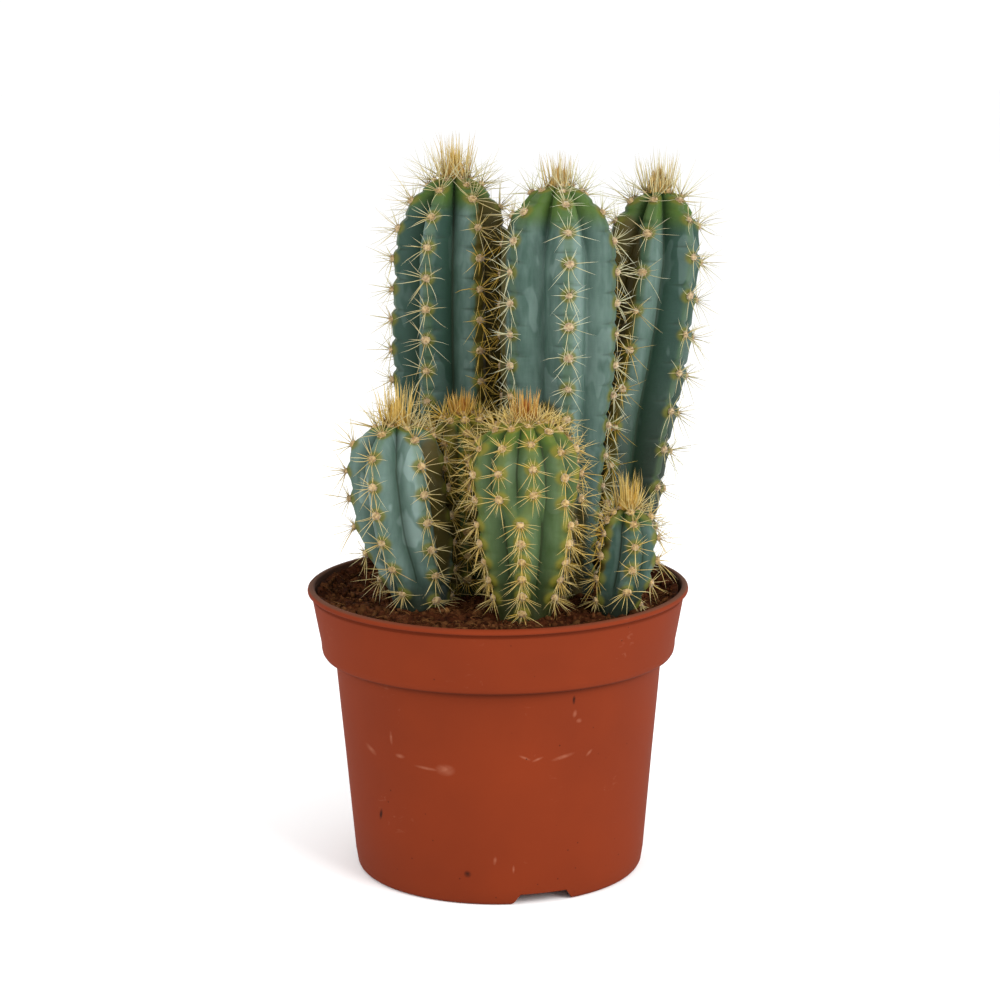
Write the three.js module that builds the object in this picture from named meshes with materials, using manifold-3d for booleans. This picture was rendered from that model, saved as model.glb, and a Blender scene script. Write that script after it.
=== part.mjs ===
// A group of seven ribbed columnar cacti in one round plastic nursery pot.
// Millimetres, +Z up, front of the plant towards -Y.
// The origin is the middle of the pot's underside, on the surface that the pot stands on.

import * as THREE from 'three';
import Module from 'manifold-3d';
import { mergeVertices } from 'three/addons/utils/BufferGeometryUtils.js';

// ---------- Driving dimensions ----------

const POT = {
  height: 128.9,
  lipRadius: 85,
  bandTopRadius: 83,
  bandFootRadius: 79.3,
  bandFoot: 104.2,
  crease: 97.5,
  lipDepth: 3.4,
  wallTopRadius: 73.1,
  wallFootRadius: 65.3,
  footRadius: 62.9,
  cornerHeight: 8,
  wall: 1.6,
  floorHeight: 5.5,
  padRadius: 18,
  skirt: 2.4,
  sides: 40,
};
const NOTCH = { count: 3, first: 17.3, bottomWidth: 29, topWidth: 21, height: 5 };
const DRAIN = { count: 6, radius: 4.5, ring: 42, sides: 10 };

// The soil is heaped up against the pot's wall, most at the back.
const SOIL = { rimLevel: 121.8, mound: 2.2, bank: 5.4, bankFrom: 0.88, gap: 0.3, rings: [30, 56, 74] };
const ROOT = { depth: 16, neck: 3, taper: 0.02, holeGap: 0.8, holeSides: 20 };

const RIB = {
  crestInset: 0.01,
  crestShare: 0.36,
  flankTurn: 0.6,
  flankInset: 0.4,
  fullHeight: 14,
  jointFade: 0.6,
  jointSpan: 6,
  flatFrom: 9,
};
const AREOLE = { halfWidth: 1.9, halfHeight: 1.7, rise: 1.2 };
const SPINE = {
  clearance: 0.35,
  apart: 0.5,
  rootWidth: 1.7,
  shortest: 3,
  shrink: 0.8,
  lipMargin: 4,
  rimGap: 1.5,
  soilGap: 1.5,
};
const ROWS = { first: 6, last: 5, trunkStep: 28, domeStep: 9.5, tipRing: 3.2 };

// Each station is [height above the soil, axis x, axis y, radius over the rib crests].
// The last one is the shoulder, where the dome of the growing tip begins.
// A storey is a stretch of the stem with its own number of ribs; first is its first crest's angle,
// and starts are the first areoles' places up each rib.
const STEMS = {
  stem_tall_left: {
    stations: [
      [0, -20, 38, 20.5],
      [35, -20, 38, 24],
      [70, -20, 38, 26.2],
      [110, -20.4, 38, 26.6],
      [146, -20.1, 38, 26],
    ],
    tip: [-18.6, 38],
    dome: 38,
    storeys: [
      { ribs: 7, first: -23.2, depth: 0.32, pitch: 13.7, starts: [4.8, 13.5, 8, 3, 10, 6, 12] },
    ],
    spine: 14,
    tuft: 18,
    colour: 0x5d8a85,
    seed: 11,
  },
  stem_tall_middle: {
    stations: [
      [0, 25.5, 6, 17.5],
      [35, 25.6, 6, 20],
      [73, 26.2, 6, 22.8],
      [95, 26.9, 6, 25.3],
      [145, 27.5, 6, 26],
    ],
    tip: [27.8, 6],
    dome: 37,
    storeys: [
      { ribs: 6, first: 8.5, depth: 0.28, pitch: 13.6, starts: [1.5, 9.8, 5, 12, 7, 10.7] },
    ],
    spine: 13,
    tuft: 12,
    colour: 0x6a9a94,
    seed: 12,
  },
  stem_tall_right: {
    stations: [
      [0, 51.5, 32, 15.5],
      [20, 52.8, 35.5, 19.2],
      [43, 54.8, 39.6, 22.3],
      [75, 58.4, 44, 25],
      [104, 64.2, 46, 25],
      [142, 70.2, 47, 23],
    ],
    tip: [74, 48.5],
    dome: 35,
    storeys: [{ ribs: 6, first: -12, depth: 0.34, pitch: 17.3, starts: [5.1, 10.8, 6, 12, 3, 10] }],
    spine: 14,
    tuft: 13,
    colour: 0x507a74,
    seed: 13,
  },
  stem_front_left: {
    stations: [
      [0, -34, -20, 11.8],
      [7, -34.8, -20, 13.2],
      [18, -37, -20.5, 16.8],
      [34, -41, -21, 19.9],
      [62, -44.2, -22, 20.4],
    ],
    tip: [-43.5, -22],
    dome: 19,
    storeys: [{ ribs: 6, first: 33, depth: 0.28, pitch: 12.4, starts: [4.5, 4, 11, 6, 12, 8] }],
    spine: 12,
    tuft: 15,
    colour: 0x5f8f8e,
    seed: 14,
  },
  stem_front_globe: {
    stations: [
      [0, 11.6, -42, 11.5],
      [11, 12, -42, 14.2],
      [25, 12.5, -42, 18.4],
      [40, 12.5, -42, 21.6],
      [64, 11.8, -42, 23],
    ],
    tip: [11.9, -42],
    dome: 22,
    storeys: [
      { ribs: 6, first: -7, depth: 0.26, pitch: 8.4, top: 50, starts: [4.2, 10.5, 6.5, 8, 6.5, 10] },
      { ribs: 10, first: -28.4, depth: 0.13, pitch: 11, starts: [5, 7.4, 2.5, 2, 5, 3, 6, 2, 5, 3] },
    ],
    spine: 11,
    tuft: 13,
    colour: 0x5f8a60,
    seed: 15,
  },
  stem_front_right: {
    stations: [
      [0, 51, -34, 7.8],
      [6, 52, -34, 9.6],
      [15, 54, -34, 11.6],
      [24, 55.8, -34, 12],
      [34, 56.8, -34, 11.4],
    ],
    tip: [56, -34],
    dome: 13,
    storeys: [{ ribs: 5, first: 10, depth: 0.32, pitch: 10, starts: [12.2, 4, 8, 5, 7] }],
    spine: 9.5,
    tuft: 12,
    colour: 0x5a8c82,
    seed: 16,
  },
  stem_back_small: {
    stations: [
      [0, -15.5, 1, 9.5],
      [25, -15.5, 1, 12.4],
      [50, -15.5, 1, 13],
      [70, -15.4, 1, 12.2],
    ],
    tip: [-15.4, 1],
    dome: 12,
    storeys: [{ ribs: 8, first: 10, depth: 0.2, pitch: 11, starts: [9, 4, 9, 4, 9, 4, 9, 4] }],
    spine: 11,
    tuft: 12,
    colour: 0x5f8560,
    seed: 17,
  },
};

const COLOURS = { pot: 0x9c4a2c, soil: 0x3a2416 };

// ---------- Small helpers ----------

const wasm = await Module();
wasm.setup();

const radians = THREE.MathUtils.degToRad;
const smoothstep = THREE.MathUtils.smoothstep;

function toSolid(geometry) {
  const bare = geometry.clone();
  bare.deleteAttribute('normal');
  bare.deleteAttribute('uv');
  const merged = mergeVertices(bare, 1e-4);
  const corners = merged.index.array;
  const kept = [];
  for (let i = 0; i < corners.length; i += 3) {
    const [a, b, c] = corners.slice(i, i + 3);
    if (a !== b && b !== c && c !== a) kept.push(a, b, c);
  }
  const vertProperties = new Float32Array(merged.attributes.position.array);
  const triVerts = new Uint32Array(kept);
  return new wasm.Manifold(new wasm.Mesh({ numProp: 3, vertProperties, triVerts }));
}

function toGeometry(solid) {
  const mesh = solid.getMesh();
  const geometry = new THREE.BufferGeometry();
  geometry.setAttribute('position', new THREE.BufferAttribute(new Float32Array(mesh.vertProperties), 3));
  geometry.setIndex(new THREE.BufferAttribute(new Uint32Array(mesh.triVerts), 1));
  return geometry;
}

function lathe(profile, sides) {
  const points = profile.map(([r, z]) => new THREE.Vector2(r, z));
  return new THREE.LatheGeometry(points, sides).rotateX(Math.PI / 2);
}

function part(name, geometry, colour, roughness) {
  geometry.computeVertexNormals();
  const material = new THREE.MeshStandardMaterial({ color: colour, roughness, metalness: 0 });
  material.name = name;
  const mesh = new THREE.Mesh(geometry, material);
  mesh.name = name;
  return mesh;
}

function randomFrom(seed) {
  let state = seed * 2654435761;
  return () => {
    state = (state + 0x6d2b79f5) | 0;
    let t = Math.imul(state ^ (state >>> 15), 1 | state);
    t = (t + Math.imul(t ^ (t >>> 7), 61 | t)) ^ t;
    return ((t ^ (t >>> 14)) >>> 0) / 4294967296;
  };
}

// Reads a column of the stations at a height by a smooth curve through them.
function along(stations, column, height) {
  const last = stations.length - 1;
  if (height <= stations[0][0]) return stations[0][column];
  if (height >= stations[last][0]) return stations[last][column];
  const i = stations.findIndex((row) => row[0] > height) - 1;
  const slope = (k) => {
    const a = stations[Math.max(k - 1, 0)];
    const b = stations[Math.min(k + 1, last)];
    return (b[column] - a[column]) / (b[0] - a[0]);
  };
  const span = stations[i + 1][0] - stations[i][0];
  const t = (height - stations[i][0]) / span;
  const t2 = t * t;
  const t3 = t2 * t;
  return stations[i][column] * (2 * t3 - 3 * t2 + 1) + stations[i + 1][column] * (3 * t2 - 2 * t3)
    + slope(i) * span * (t3 - 2 * t2 + t) + slope(i + 1) * span * (t3 - t2);
}

// ---------- Pot: one thin moulded shell with a wider band round the top ----------

function potProfile() {
  const p = POT;
  const lipFoot = p.height - p.lipDepth;
  const inside = p.floorHeight + p.wall;
  const recessEdge = p.footRadius - p.skirt;
  const outer = [
    [0, 0], [p.padRadius, 0], [p.padRadius + 2, p.floorHeight],
    [recessEdge, p.floorHeight], [recessEdge, 0], [p.footRadius - 0.6, 0],
    [p.footRadius + 1.2, 1.6], [p.wallFootRadius, p.cornerHeight],
    [p.wallTopRadius, p.crease], [p.bandFootRadius - 1.8, p.crease + 1],
    [p.bandFootRadius - 0.3, p.crease + 3.2], [p.bandFootRadius, p.bandFoot],
    [p.bandTopRadius, lipFoot], [p.lipRadius, lipFoot + 1.2],
    [p.lipRadius - 0.6, p.height - 0.3], [p.lipRadius - 2, p.height],
  ];
  const inner = [
    [p.bandTopRadius - 1.2, p.height - 0.6], [p.bandTopRadius - p.wall, lipFoot - 1],
    [p.bandFootRadius - p.wall, p.bandFoot], [p.bandFootRadius - p.wall - 1, p.crease + 3.4],
    [p.wallTopRadius - p.wall, p.crease + 1.4], [p.wallFootRadius - p.wall, inside + 2],
    [p.wallFootRadius - p.wall - 2.2, inside], [p.padRadius + 0.6, inside],
    [p.padRadius - 1.4, p.wall], [0, p.wall],
  ];
  return { outer, inner };
}

// A block that cuts the skirt through, wider below than above.
function notchCutter(angle) {
  const outline = new THREE.Shape([
    new THREE.Vector2(-NOTCH.bottomWidth / 2, -1),
    new THREE.Vector2(NOTCH.bottomWidth / 2, -1),
    new THREE.Vector2(NOTCH.topWidth / 2, NOTCH.height),
    new THREE.Vector2(-NOTCH.topWidth / 2, NOTCH.height),
  ]);
  const depth = 16;
  const block = new THREE.ExtrudeGeometry(outline, { depth, bevelEnabled: false });
  block.rotateX(Math.PI / 2).translate(0, -POT.footRadius + depth - 7, 0);
  return toSolid(block.rotateZ(radians(angle)));
}

function makePot() {
  const { outer, inner } = potProfile();
  let solid = toSolid(lathe([...outer, ...inner], POT.sides));
  for (let i = 0; i < NOTCH.count; i++) {
    solid = solid.subtract(notchCutter(NOTCH.first + (360 / NOTCH.count) * i));
  }
  for (let i = 0; i < DRAIN.count; i++) {
    const turn = radians((360 / DRAIN.count) * (i + 0.5));
    const drill = new THREE.CylinderGeometry(DRAIN.radius, DRAIN.radius, 12, DRAIN.sides);
    drill.rotateX(Math.PI / 2);
    drill.translate(DRAIN.ring * Math.cos(turn), DRAIN.ring * Math.sin(turn), POT.floorHeight);
    solid = solid.subtract(toSolid(drill));
  }
  return part('pot', toGeometry(solid), COLOURS.pot, 0.55);
}

// ---------- Soil: fills the pot, heaped a little round the stems ----------

function soilLevel(x, y) {
  const reach = Math.hypot(x, y) / (POT.bandTopRadius - POT.wall);
  const heap = SOIL.mound * (1 - reach * reach);
  const lumps = 0.6 * Math.sin(0.23 * x + 1) * Math.cos(0.19 * y) + 0.4 * Math.sin(0.41 * x - 0.33 * y + 2);
  const behind = 0.8 + 0.2 * (y / Math.max(Math.hypot(x, y), 1));
  const bank = SOIL.bank * behind * smoothstep(reach, SOIL.bankFrom, 1);
  return SOIL.rimLevel + heap + lumps + bank;
}

function makeSoil() {
  const gap = SOIL.gap;
  const { inner } = potProfile();
  const wallLine = inner.slice(1).reverse().map(([r, z]) => [Math.max(r - gap, 0), z + gap]);
  const rim = POT.bandTopRadius - POT.wall - 3 * gap;
  const below = wallLine.filter(([, z]) => z < SOIL.rimLevel - 4);
  const surface = [...SOIL.rings, rim].reverse().map((r) => [r, SOIL.rimLevel]);
  const geometry = lathe([...below, ...surface, [0, SOIL.rimLevel]], POT.sides);
  const points = geometry.attributes.position;
  for (let i = 0; i < points.count; i++) {
    const x = points.getX(i);
    const y = points.getY(i);
    if (points.getZ(i) > SOIL.rimLevel - 0.1) points.setZ(i, soilLevel(x, y));
  }
  let solid = toSolid(geometry);
  for (const stem of Object.values(STEMS)) {
    solid = solid.subtract(rootHole(stem));
  }
  return part('soil', toGeometry(solid), COLOURS.soil, 0.95);
}

// ---------- Stems: outlines ----------

function soilAt(stem) {
  return soilLevel(stem.stations[0][1], stem.stations[0][2]);
}

function shoulderOf(stem) {
  const [height, x, y, radius] = stem.stations[stem.stations.length - 1];
  return { height, x, y, radius };
}

// The plain round hole that a stem's foot stands in.
function rootHole(stem) {
  const [, x, y] = stem.stations[0];
  const radius = along(stem.stations, 3, ROOT.neck) + ROOT.holeGap;
  const height = ROOT.depth + 8;
  const hole = new THREE.CylinderGeometry(radius, radius, height, ROOT.holeSides);
  hole.rotateX(Math.PI / 2);
  hole.translate(x, y, soilAt(stem) - ROOT.depth - ROOT.holeGap + height / 2);
  return toSolid(hole);
}

// The stem's outline as closely spaced samples from its foot to its tip, with their arc lengths.
// Above the shoulder it is a dome, an ellipse standing on end.
function outlineOf(stem) {
  const samples = [];
  const push = (height, x, y, radius) => {
    const before = samples[samples.length - 1];
    const reach = before ? before.reach + Math.hypot(height - before.height, radius - before.radius) : height;
    samples.push({ height, x, y, radius, reach });
  };
  const shoulder = shoulderOf(stem);
  for (let height = -ROOT.depth; height < shoulder.height; height += 1) {
    const [x, y, radius] = [1, 2, 3].map((column) => along(stem.stations, column, height));
    push(height, x, y, radius * (1 + ROOT.taper * Math.min(height, 0)));
  }
  const steps = 60;
  for (let i = 0; i <= steps; i++) {
    const turn = (Math.PI / 2) * (i / steps);
    const rise = Math.sin(turn);
    const x = THREE.MathUtils.lerp(shoulder.x, stem.tip[0], rise);
    const y = THREE.MathUtils.lerp(shoulder.y, stem.tip[1], rise);
    push(shoulder.height + stem.dome * rise, x, y, shoulder.radius * Math.cos(turn));
  }
  return samples;
}

// The outline at a given height or reach, with the slope of the skin there.
function sampleAt(outline, key, value) {
  const above = outline.findIndex((sample) => sample[key] > value);
  const i = above < 0 ? outline.length - 1 : Math.max(above, 1);
  const a = outline[i - 1];
  const b = outline[i];
  const t = THREE.MathUtils.clamp((value - a[key]) / (b[key] - a[key]), 0, 1);
  const mix = { slope: Math.atan2(a.radius - b.radius, b.height - a.height) };
  for (const name of Object.keys(a)) mix[name] = THREE.MathUtils.lerp(a[name], b[name], t);
  return mix;
}

// ---------- Stems: where a spine may grow ----------

// How far a point is outside the round envelope of a stem's crests.
function gapTo(stem, point) {
  const height = point.z - stem.base;
  const shoulder = shoulderOf(stem);
  if (height <= shoulder.height) {
    const s = sampleAt(stem.outline, 'height', height);
    return Math.hypot(point.x - s.x, point.y - s.y) - s.radius;
  }
  const across = Math.hypot(point.x - stem.tip[0], point.y - stem.tip[1]) / shoulder.radius;
  const up = (height - shoulder.height) / stem.dome;
  return (Math.hypot(across, up) - 1) * Math.min(shoulder.radius, stem.dome);
}

// Whether two spines come too near each other, counting them thicker towards their roots.
function spinesMeet(spine, other) {
  const line = new THREE.Line3(other.root, other.tip);
  const nearest = new THREE.Vector3();
  for (let i = 1; i <= 10; i++) {
    const t = i / 10;
    const p = spine.root.clone().lerp(spine.tip, t);
    const u = line.closestPointToPointParameter(p, true);
    const room = SPINE.apart + SPINE.rootWidth * (2 - t - u);
    if (line.at(u, nearest).distanceTo(p) < room) return true;
  }
  return false;
}

// A spine is free when it stays nearer to its own stem than to any other, over the soil,
// inside the pot's lip or above it, and apart from the spines of other areoles.
function isFree(spine, stem, placed) {
  const others = Object.values(STEMS).filter((other) => other !== stem);
  for (let i = 1; i <= 5; i++) {
    const p = spine.root.clone().lerp(spine.tip, i / 5);
    const own = gapTo(stem, p);
    if (others.some((other) => gapTo(other, p) < own + SPINE.clearance)) return false;
    if (p.z < soilLevel(p.x, p.y) + SPINE.soilGap) return false;
    const atLip = Math.hypot(p.x, p.y) > POT.bandTopRadius - SPINE.lipMargin;
    if (atLip && p.z < POT.height + SPINE.rimGap) return false;
  }
  return placed.every((other) => other.areole === spine.areole || !spinesMeet(spine, other));
}

// ---------- Stems: the skin ----------

// One rib's columns of points from groove to groove. A turn is a share of half the rib's angle
// and an inset is a share of the radius; narrow ribs have flat flanks with no column of their own.
function ribColumns(storey) {
  const groove = { kind: 'groove', turn: -1, inset: storey.depth };
  const flank = { kind: 'flank', inset: RIB.flankInset * storey.depth };
  const crest = { kind: 'crest', inset: RIB.crestInset };
  const crests = [{ ...crest, turn: -1 }, { ...crest, turn: 1 }];
  if (storey.ribs >= RIB.flatFrom) return [groove, ...crests];
  return [groove, { ...flank, turn: -RIB.flankTurn }, ...crests, { ...flank, turn: RIB.flankTurn }];
}

class StemSkin {
  constructor(stem) {
    this.stem = stem;
    this.points = [];
    this.faces = [];
    this.spines = [];
    this.areoles = 0;
    this.random = randomFrom(stem.seed);
  }

  add(point) {
    this.points.push(point);
    return this.points.length - 1;
  }

  face(a, b, c) {
    this.faces.push(a, b, c);
  }

  // A point of the skin, where ribs sink away at the foot and where a new storey begins.
  at(reach, angle, inset) {
    const { stem } = this;
    const s = sampleAt(stem.outline, 'reach', reach);
    let ribbing = smoothstep(s.height, -ROOT.neck, RIB.fullHeight);
    for (const { top } of stem.storeys.slice(0, -1)) {
      ribbing *= 1 - RIB.jointFade * Math.exp(-(((s.height - top) / RIB.jointSpan) ** 2));
    }
    const radius = s.radius * (1 - inset * ribbing);
    const x = s.x + radius * Math.sin(angle);
    const y = s.y - radius * Math.cos(angle);
    return new THREE.Vector3(x, y, stem.base + s.height);
  }

  column(shape, storey, crestAngle, stops, firstIndex) {
    const half = Math.PI / storey.ribs;
    const points = stops.map((reach, row) => {
      if (row === 0 && firstIndex !== undefined) return { reach, index: firstIndex };
      const { radius } = sampleAt(this.stem.outline, 'reach', reach);
      const unit = shape.kind === 'crest' ? Math.min(AREOLE.halfWidth / radius, RIB.crestShare * half) : half;
      return { reach, index: this.add(this.at(reach, crestAngle + unit * shape.turn, shape.inset)) };
    });
    return { kind: shape.kind, crestAngle, points };
  }

  // Joins two neighbouring columns by a strip, always stepping the lower one up.
  strip(left, right) {
    let i = 0;
    let j = 0;
    while (i < left.length - 1 || j < right.length - 1) {
      const rightDone = j === right.length - 1;
      const leftNext = i < left.length - 1 && (rightDone || left[i + 1].reach <= right[j + 1].reach);
      if (leftNext) {
        this.face(left[i].index, right[j].index, left[i + 1].index);
        i += 1;
      } else {
        this.face(left[i].index, right[j].index, right[j + 1].index);
        j += 1;
      }
    }
  }

  // The strip along a crest, with an areole wherever one is centred.
  crestStrip(left, right, areoles) {
    let row = 0;
    while (row < left.points.length - 1) {
      const [a0, a1, a2] = left.points.slice(row, row + 3);
      const [b0, b1, b2] = right.points.slice(row, row + 3);
      if (areoles.includes(a1.reach)) {
        this.areole([a0, b0, b1, b2, a2, a1].map((p) => p.index), a1.reach, left.crestAngle);
        row += 2;
      } else {
        this.face(a0.index, b0.index, a1.index);
        this.face(b0.index, b1.index, a1.index);
        row += 1;
      }
    }
  }

  // Raises a spine from the triangle a, b, c, as long as it can be without touching anything.
  spine(a, b, c, direction, length, areole) {
    const root = new THREE.Vector3();
    for (const corner of [a, b, c]) root.addScaledVector(this.points[corner], 1 / 3);
    for (let size = length; size > SPINE.shortest; size *= SPINE.shrink) {
      const spine = { root, tip: root.clone().addScaledVector(direction, size), areole };
      if (isFree(spine, this.stem, this.spines)) {
        this.spines.push(spine);
        const tip = this.add(spine.tip);
        this.face(a, b, tip);
        this.face(b, c, tip);
        this.face(c, a, tip);
        return;
      }
    }
    this.face(a, b, c);
  }

  // A woolly pad on a rib's crest, with six spines that spread from it like a star.
  areole(ring, reach, angle) {
    const { stem, random } = this;
    this.areoles += 1;
    const s = sampleAt(stem.outline, 'reach', reach);
    const shoulder = shoulderOf(stem);
    const nearTip = THREE.MathUtils.clamp((s.height - shoulder.height) / stem.dome, 0, 1);
    const side = new THREE.Vector3(Math.cos(angle), Math.sin(angle), 0);
    const normal = new THREE.Vector3(Math.sin(angle), -Math.cos(angle), 0).multiplyScalar(Math.cos(s.slope));
    normal.setZ(Math.sin(s.slope));
    const up = new THREE.Vector3().crossVectors(normal, side);
    const centre = this.add(this.at(reach, angle, 0).addScaledVector(normal, AREOLE.rise));
    ring.forEach((a, k) => {
      const turn = radians(-90 + 60 * k + 24 * (random() - 0.5));
      const upright = (k + this.areoles) % 3 === 0;
      const lean = radians((upright ? 28 : 60) + 12 * (random() - 0.5)) * (1 - 0.4 * nearTip);
      const direction = normal.clone().multiplyScalar(Math.cos(lean));
      direction.addScaledVector(side, Math.sin(lean) * Math.cos(turn));
      direction.addScaledVector(up, Math.sin(lean) * Math.sin(turn));
      const length = stem.spine * (0.75 + 0.35 * random());
      this.spine(a, ring[(k + 1) % ring.length], centre, direction, length, this.areoles);
    });
  }

  // The tuft of upright spines that crowns the growing tip.
  crown(ring, top) {
    const { stem, random } = this;
    this.areoles += 1;
    ring.forEach((a, i) => {
      const b = ring[(i + 1) % ring.length];
      if (i % 2) {
        this.face(a, b, top);
        return;
      }
      const outward = this.points[a].clone().lerp(this.points[b], 0.5).sub(this.points[top]);
      outward.setZ(0).normalize();
      const lean = radians(6 + 22 * random());
      const direction = outward.multiplyScalar(Math.sin(lean)).setZ(Math.cos(lean));
      this.spine(a, b, top, direction, stem.tuft * (0.8 + 0.2 * random()), this.areoles);
    });
  }
}

// Where a column has points: round each areole on a crest, and widely spaced elsewhere.
function stopsOf(kind, areoles, from, to, shoulderReach) {
  const inner = [];
  if (from < 0) inner.push(-ROOT.neck, ROOT.neck + 1);
  if (kind === 'crest') {
    for (const reach of areoles) inner.push(reach - AREOLE.halfHeight, reach, reach + AREOLE.halfHeight);
    return [from, ...inner, to];
  }
  let reach = Math.max(from, ROOT.neck + 1);
  for (;;) {
    reach += reach < shoulderReach - ROWS.domeStep ? ROWS.trunkStep : ROWS.domeStep;
    if (reach > to - ROWS.domeStep / 2) return [from, ...inner, to];
    inner.push(reach);
  }
}

function makeStem(name, stem) {
  const skin = new StemSkin(stem);
  const tip = stem.outline[stem.outline.length - 1];
  const shoulderReach = sampleAt(stem.outline, 'height', shoulderOf(stem).height).reach;
  let from = stem.outline[0].reach;
  let foot = [];
  let ring = [];
  for (const storey of stem.storeys) {
    const to = storey.top ? sampleAt(stem.outline, 'height', storey.top).reach : tip.reach - ROWS.tipRing;
    const columns = [];
    const crests = [];
    for (let rib = 0; rib < storey.ribs; rib++) {
      const crestAngle = radians(storey.first + (360 / storey.ribs) * rib);
      const areoles = [];
      let reach = Math.max(from, 0) + storey.starts[rib];
      if (reach < ROWS.first) reach += storey.pitch;
      for (; reach < to - ROWS.last; reach += storey.pitch) areoles.push(reach);
      for (const shape of ribColumns(storey)) {
        const stops = stopsOf(shape.kind, areoles, from, to, shoulderReach);
        columns.push(skin.column(shape, storey, crestAngle, stops, ring[columns.length]));
        crests.push(areoles);
      }
    }
    columns.forEach((left, i) => {
      const right = columns[(i + 1) % columns.length];
      if (left.kind === 'crest' && right.kind === 'crest') skin.crestStrip(left, right, crests[i]);
      else skin.strip(left.points, right.points);
    });
    if (foot.length === 0) foot = columns.map((column) => column.points[0].index);
    ring = columns.map((column) => column.points[column.points.length - 1].index);
    from = to;
  }
  const { x, y, height } = stem.outline[0];
  const bottom = skin.add(new THREE.Vector3(x, y, stem.base + height));
  foot.forEach((a, i) => skin.face(foot[(i + 1) % foot.length], a, bottom));
  skin.crown(ring, skin.add(new THREE.Vector3(tip.x, tip.y, stem.base + tip.height)));

  const geometry = new THREE.BufferGeometry().setFromPoints(skin.points);
  geometry.setIndex(skin.faces);
  return part(name, geometry, stem.colour, 0.5);
}

// ---------- The whole plant ----------

for (const stem of Object.values(STEMS)) {
  stem.base = soilAt(stem);
  stem.outline = outlineOf(stem);
}

const plant = new THREE.Group();
plant.name = 'potted_cactus';
plant.add(makePot());
plant.add(makeSoil());
for (const [name, stem] of Object.entries(STEMS)) plant.add(makeStem(name, stem));

export default plant;
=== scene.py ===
# A group of seven ribbed columnar cacti in one round plastic nursery pot.
# Lengths are given in millimetres and laid down in metres, +Z up, front of the plant towards -Y.

import math

import bmesh
import bpy
import numpy as np
from mathutils import Matrix, Vector, noise


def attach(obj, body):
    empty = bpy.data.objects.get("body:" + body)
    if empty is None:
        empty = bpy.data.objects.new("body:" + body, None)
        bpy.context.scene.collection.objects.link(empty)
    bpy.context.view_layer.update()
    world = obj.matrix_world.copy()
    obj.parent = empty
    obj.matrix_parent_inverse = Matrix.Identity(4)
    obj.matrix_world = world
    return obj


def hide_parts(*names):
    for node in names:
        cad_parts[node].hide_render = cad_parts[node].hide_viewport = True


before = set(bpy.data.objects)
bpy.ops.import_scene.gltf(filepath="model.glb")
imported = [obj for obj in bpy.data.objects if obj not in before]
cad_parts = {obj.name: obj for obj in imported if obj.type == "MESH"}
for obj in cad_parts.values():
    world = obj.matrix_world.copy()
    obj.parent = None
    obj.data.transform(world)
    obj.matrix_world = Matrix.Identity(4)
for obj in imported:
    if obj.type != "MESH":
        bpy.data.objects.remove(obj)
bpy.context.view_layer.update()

scene = bpy.context.scene
MM = 0.001


# ---------- Pot ----------
# A nursery pot of polypropylene, moulded in one thin wall with a wide band and a lip round the
# top. It stands on a skirt with three notches, and its raised floor has six drain holes.

POT_SIDES = 144
LIP_TOP = 128.9
BAND_TOP_RADIUS = 83
WALL = 1.6
# Radius and height of each ring, from the pad under the middle out, up and over the lip.
POT_OUTSIDE = [
    (17.2, 0), (18.2, 0.4), (20, 5.5), (59.9, 5.5), (60.5, 4.9), (60.5, 0.5), (61, 0),
    (62.3, 0), (63.2, 0.35), (63.9, 1.1), (64.4, 2.2), (65.3, 8),
    (67.2, 30), (69.1, 52), (71.1, 74), (73.1, 96.8), (73.5, 97.7),
    (74.6, 97.5), (76.8, 97.7), (78, 98.3), (78.7, 99.4), (79.1, 101.2), (79.3, 104.2),
    (80.5, 110.4), (81.8, 117.6), (83, 124.2),
    (82.7, 124.7), (82.5, 125.2), (82.6, 125.8), (83.3, 126.1), (84.4, 126.2), (84.9, 126.6),
    (85, 127.2), (84.8, 128), (84.2, 128.6), (83.3, LIP_TOP), (82.4, LIP_TOP - 0.1),
    (81.9, LIP_TOP - 0.6),
]
# The inside, from the lip down the wall and over the floor to its sunk middle.
POT_INSIDE = [
    (81.4, 124.2), (77.7, 104.2), (76.7, 100.9), (71.5, 98.9),
    (63.7, 9.1), (61.5, 7.1), (18.6, 7.1), (16.6, 1.6),
]
NOTCHES = 3
NOTCH_TURN = 17.3
NOTCH_WIDE = 29
NOTCH_NARROW = 21
NOTCH_HEIGHT = 5
NOTCH_RING = 63
NOTCH_REACH = 16
DRAINS = 6
DRAIN_RADIUS = 4.5
DRAIN_RING = 42
DRAIN_MIDDLE = 6
DRAIN_DEPTH = 8
SHARP_ANGLE = 38
# How far the rim sags at the front, and the heights between which it does.
RIM_SAG = 1.3
SAG_FROM = 110
SAG_HEIGHT = 19
DUSTY_LIP = 128.5
DUSTY_FROM = 99


def pull(rings):
    """Pulls the selected ring out through the next ones, each given as radius and height."""
    for (radius, height), (next_radius, next_height) in zip(rings, rings[1:]):
        rise = (0, 0, (next_height - height) * MM)
        bpy.ops.mesh.extrude_region_move(TRANSFORM_OT_translate={"value": rise})
        share = next_radius / radius
        bpy.ops.transform.resize(value=(share, share, 1), center_override=(0, 0, 0))


def close_up():
    """Turns all faces of the mesh outwards and leaves edit mode."""
    bpy.ops.mesh.select_all(action='SELECT')
    bpy.ops.mesh.normals_make_consistent(inside=False)
    bpy.ops.object.mode_set(mode='OBJECT')


def hand(mesh_object):
    """Leaves this object alone selected and active, as a hand would."""
    bpy.ops.object.select_all(action='DESELECT')
    mesh_object.select_set(True)
    bpy.context.view_layer.objects.active = mesh_object


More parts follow.
